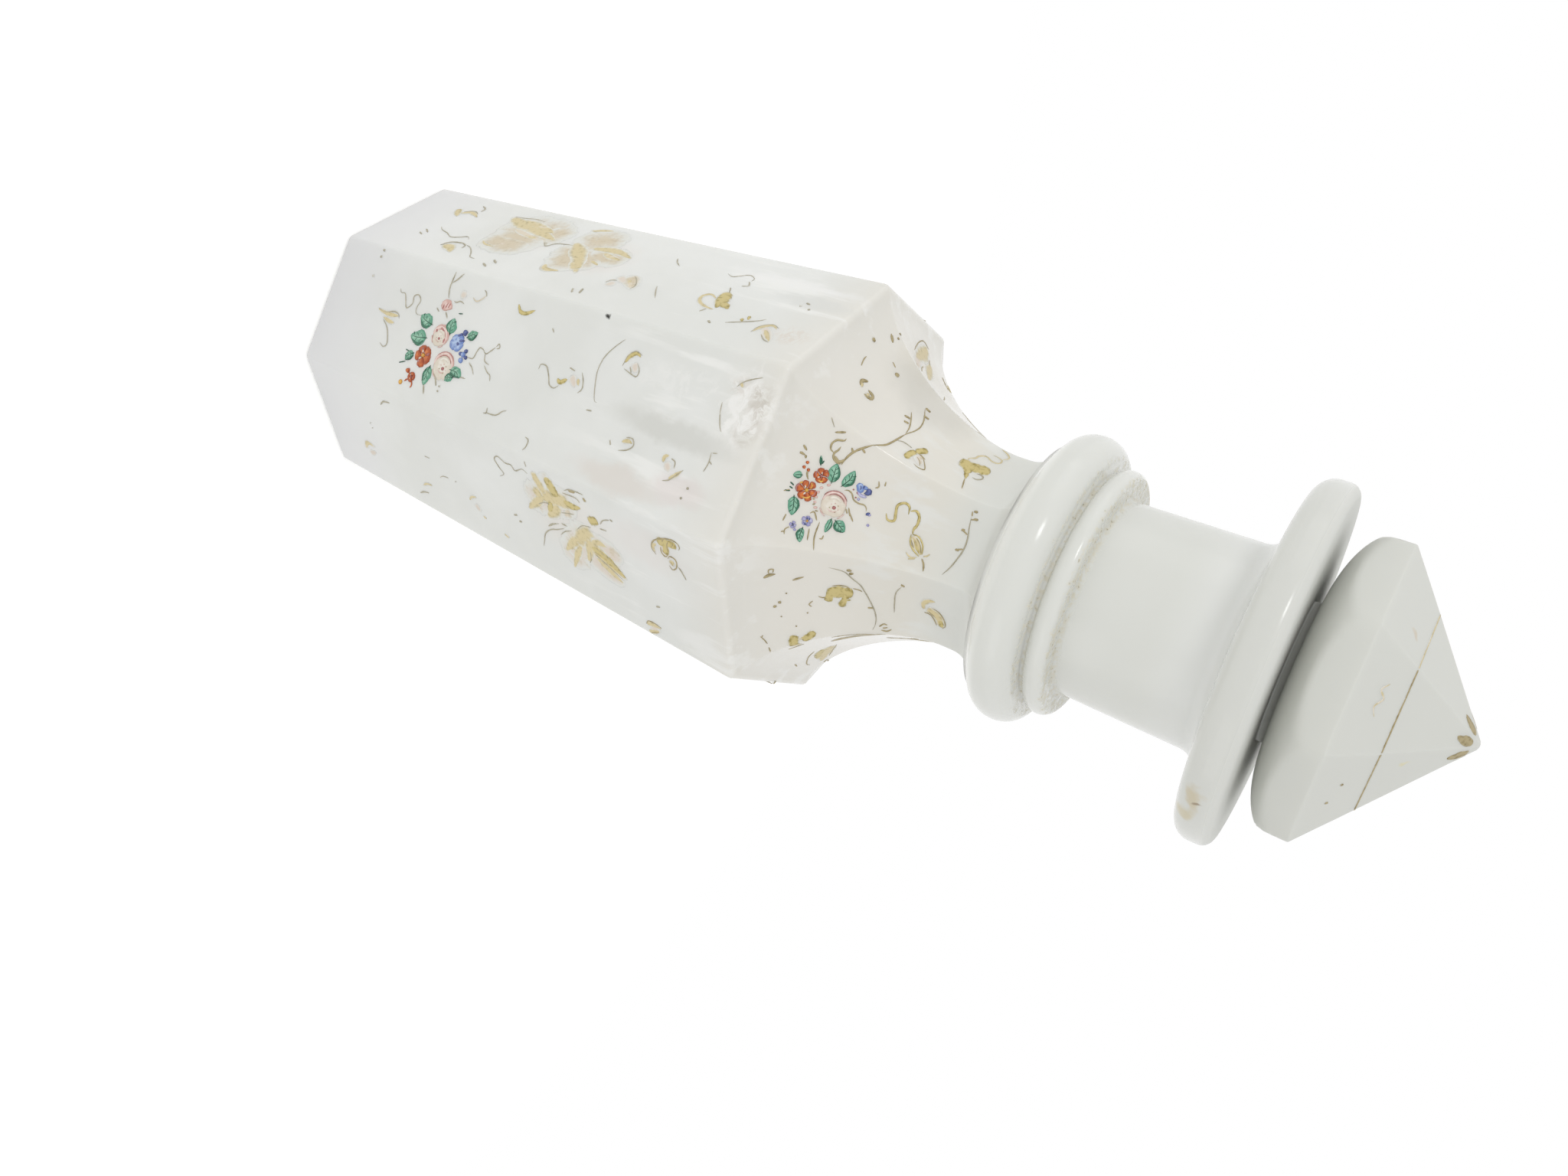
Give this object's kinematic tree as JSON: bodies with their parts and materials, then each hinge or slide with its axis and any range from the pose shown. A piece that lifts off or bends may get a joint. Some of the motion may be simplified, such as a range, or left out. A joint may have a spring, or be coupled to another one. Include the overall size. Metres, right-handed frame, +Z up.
{
  "type": "glass carafe",
  "caption": "Octagonal cut carafe of milky opaline glass with hollow shoulder facets, a ringed collar, a flat lip and a pointed stopper that lifts out of its ground neck.",
  "frame": {"origin": "centre of the flat underside of the foot", "axes": "+Z up along the neck, -Y out of the middle of the front flat, +X to the right seen from the front"},
  "size_m": [0.0832, 0.0832, 0.2476],
  "materials": {
    "opaline_glass": "polished milky white",
    "enamel": "glossy raised enamel paint",
    "gilding": "worn fired gold"
  },
  "bodies": {
    "bottle": {"bottle": "opaline_glass"},
    "stopper": {"stopper": "opaline_glass"}
  },
  "joints": [
    {"name": "stopper_lift", "type": "slide", "parent": "bottle", "child": "stopper", "axis": [0, 0, 1], "range_m": [0, 0.06]}
  ]
}
